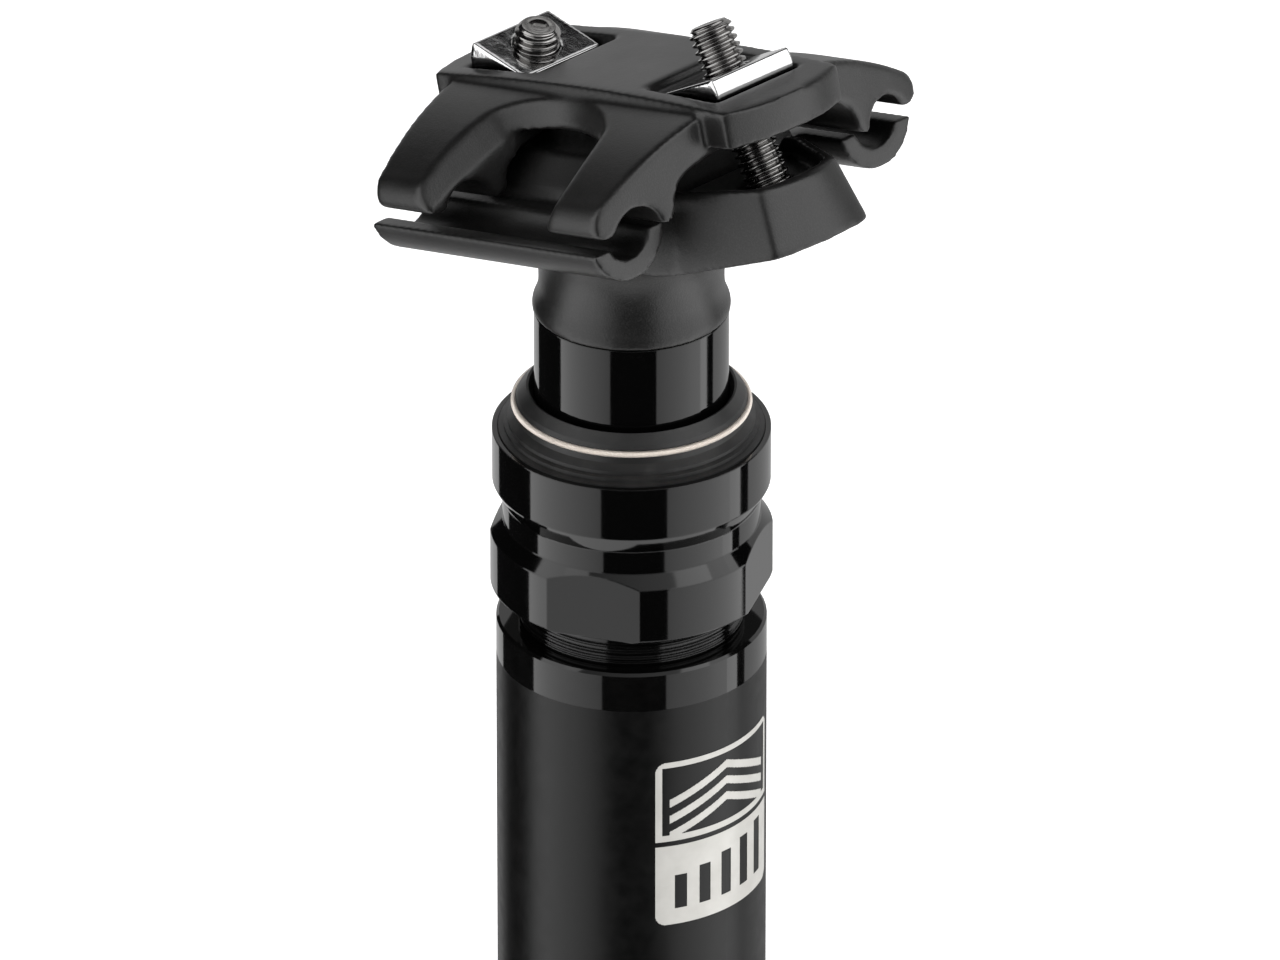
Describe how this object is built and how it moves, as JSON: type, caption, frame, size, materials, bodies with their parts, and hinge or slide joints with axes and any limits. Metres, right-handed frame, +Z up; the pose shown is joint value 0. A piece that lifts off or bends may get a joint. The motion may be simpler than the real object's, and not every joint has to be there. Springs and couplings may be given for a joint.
{
  "type": "telescoping bicycle seatpost",
  "caption": "Telescoping bicycle seatpost: inner tube slides in a clamped outer tube, with screwed collar, wiper seal, oil and air column, cable lever at its foot and tilting rail clamp.",
  "frame": {"origin": "on the post axis at the top edge of the lower tube, where the collar screws in", "axes": "+Z up along the post axis, +X towards the back of the bicycle, +Y to the rider's right"},
  "size_m": [0.0636, 0.057, 0.3527],
  "materials": {
    "tube_black": "fine satin black anodising",
    "gloss_black": "polished black anodising",
    "forged_black": "bead-blasted black anodising",
    "steel_bright": "bright drawn steel",
    "steel_dark": "black-oxide steel",
    "chrome": "bright chrome plate",
    "alloy": "plain machined alloy",
    "brass": "machined brass",
    "rubber": "matte black rubber",
    "bearing": "filled bearing polymer",
    "foam": "oil-soaked felt",
    "elastomer": "cast elastomer"
  },
  "bodies": {
    "lower_tube": {"lower_tube": "tube_black", "collar": "gloss_black", "collar_oring": "rubber", "upper_bushing": "bearing", "foam_oil_ring": "foam", "wiper_seal": "rubber", "wiper_garter_spring": "steel_bright", "bottom_bumper": "elastomer", "actuator_housing": "forged_black", "housing_oring": "rubber", "lever_pin": "steel_bright", "piston_rod": "alloy", "main_piston": "alloy", "piston_glide_ring": "bearing", "end_stop_ring": "elastomer", "poppet_retainer": "brass", "valve_spring": "steel_bright"},
    "upper_post": {"stanchion_tube": "gloss_black", "guide_keys": "brass", "lower_bushing": "bearing", "retaining_ring": "steel_dark", "oil_cylinder": "alloy", "sealhead": "alloy", "sealhead_oring": "rubber", "rod_seal": "rubber", "cylinder_cap": "alloy", "cap_oring": "rubber", "air_valve": "brass", "air_valve_cap": "bearing", "head_forging": "forged_black"},
    "floating_piston": {"floating_piston": "alloy", "floating_piston_oring": "rubber"},
    "valve_stem": {"valve_stem": "steel_bright"},
    "actuator_lever": {"actuator_lever": "forged_black", "cable_barrel": "brass"},
    "saddle_clamp": {"lower_cradle": "forged_black", "upper_clamp": "forged_black"},
    "rear_bolt": {"rear_clamp_bolt": "steel_dark", "rear_bolt_washer": "steel_bright"},
    "front_bolt": {"front_clamp_bolt": "steel_dark", "front_bolt_washer": "steel_bright"},
    "rear_nut": {"rear_barrel_nut": "chrome"},
    "front_nut": {"front_barrel_nut": "chrome"}
  },
  "joints": [
    {"name": "post_travel", "type": "slide", "parent": "lower_tube", "child": "upper_post", "axis": [0, 0, 1], "range_m": [0, 0.125]},
    {"name": "floating_piston_slide", "type": "slide", "parent": "upper_post", "child": "floating_piston", "axis": [0, 0, 1], "range_m": [-0.03576, 0.0002]},
    {"name": "lever_pull", "type": "hinge", "parent": "lower_tube", "child": "actuator_lever", "pos_m": [0.004, 0, -0.243], "axis": [0, 1, 0], "range_deg": [0, 20]},
    {"name": "valve_lift", "type": "slide", "parent": "lower_tube", "child": "valve_stem", "axis": [0, 0, 1], "range_m": [0, 0.00142], "deforming": ["valve_spring"]},
    {"name": "clamp_tilt", "type": "hinge", "parent": "upper_post", "child": "saddle_clamp", "pos_m": [-0.00199, 0, 0.07928], "axis": [0, 1, 0], "range_deg": [-6, 6]},
    {"name": "rear_bolt_swing", "type": "hinge", "parent": "upper_post", "child": "rear_bolt", "pos_m": [0.02877, 0, 0.06405], "axis": [0, 1, 0], "range_deg": [-1.86, 1.86]},
    {"name": "rear_nut_travel", "type": "slide", "parent": "rear_bolt", "child": "rear_nut", "axis": [-0.5075, 0, 0.8616], "range_m": [-0.002, 0.002]},
    {"name": "front_bolt_swing", "type": "hinge", "parent": "upper_post", "child": "front_bolt", "pos_m": [-0.02144, 0, 0.04906], "axis": [0, 1, 0], "range_deg": [-1.76, 1.76]},
    {"name": "front_nut_travel", "type": "slide", "parent": "front_bolt", "child": "front_nut", "axis": [0.1564, 0, 0.9877], "range_m": [-0.00155, 0.00155]}
  ],
  "couplings": [
    {"joint": "floating_piston_slide", "follows": "post_travel", "ratio": -0.28444},
    {"joint": "valve_lift", "follows": "lever_pull", "m_per_rad": 0.004},
    {"joint": "rear_bolt_swing", "follows": "clamp_tilt", "ratio": -0.30441},
    {"joint": "rear_nut_travel", "follows": "clamp_tilt", "m_per_rad": -0.018768},
    {"joint": "front_bolt_swing", "follows": "clamp_tilt", "ratio": -0.28732},
    {"joint": "front_nut_travel", "follows": "clamp_tilt", "m_per_rad": 0.014482}
  ]
}
